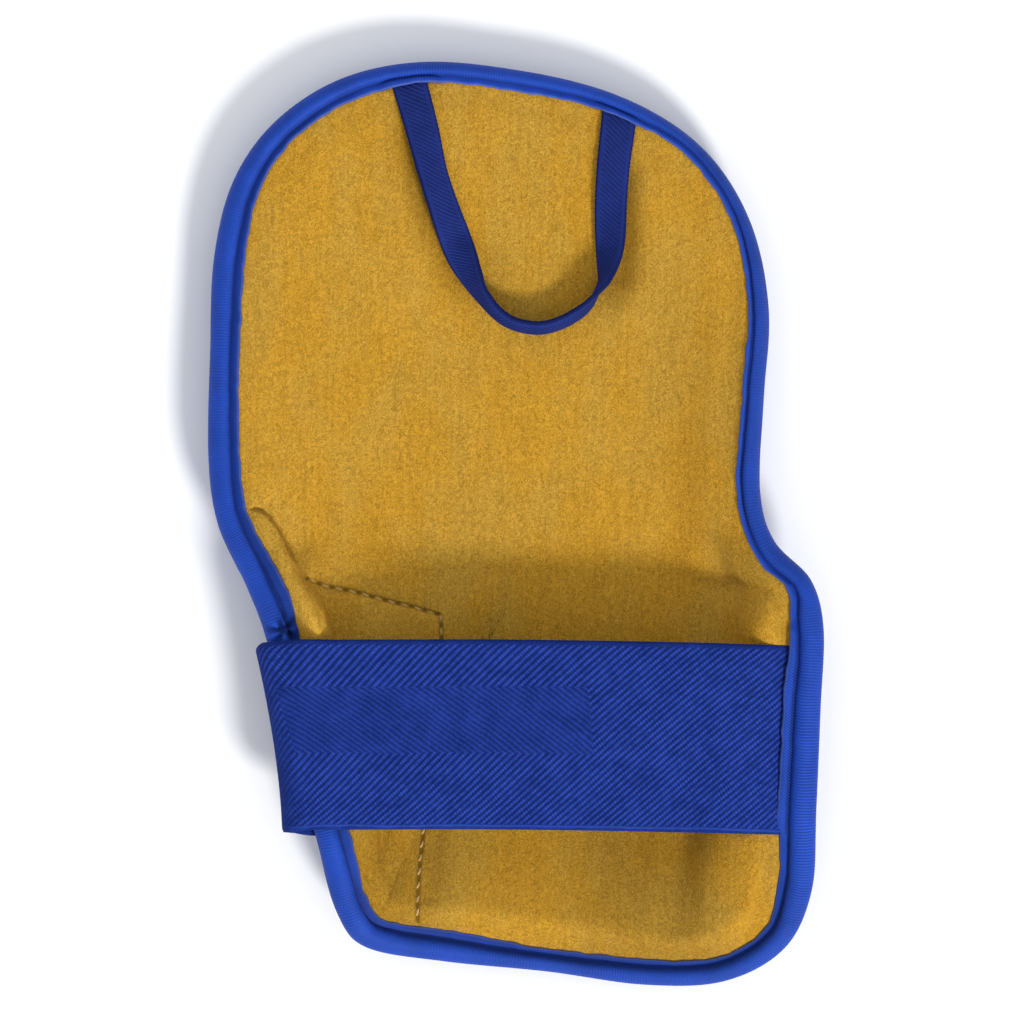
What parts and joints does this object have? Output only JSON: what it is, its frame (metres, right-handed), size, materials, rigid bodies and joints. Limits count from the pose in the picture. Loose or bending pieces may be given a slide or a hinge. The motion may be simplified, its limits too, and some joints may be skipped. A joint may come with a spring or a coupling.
{
  "type": "batting hand protector",
  "caption": "Padded guard for the back of the hand and wrist, with a bound edge, soft lining, finger loop and wrist strap, lying on its outer face.",
  "frame": {"origin": "under the middle of the guard, on the surface that it rests on", "axes": "+Y from the wrist to the fingers, +Z away from the resting face towards the lining, +X to the right seen from the lining side"},
  "size_m": [0.1225, 0.185, 0.0216],
  "materials": {
    "cover": "matt grained synthetic leather, royal blue, plain",
    "lining_cloth": "brushed napped cloth, golden mustard",
    "binding_tape": "finely ribbed woven tape, royal blue",
    "loop_tape": "narrow twill tape with paler edges, dark blue",
    "strap_elastic": "woven elastic with a diagonal rib and plain edges, deep blue",
    "fastener_pile": "looped fastener pile, dark blue"
  },
  "bodies": {
    "root": {"padded_shell": "cover", "lining": "lining_cloth", "edge_binding": "binding_tape", "finger_loop": "loop_tape", "wrist_strap": "strap_elastic", "fastener_patch": "fastener_pile"}
  },
  "joints": []
}
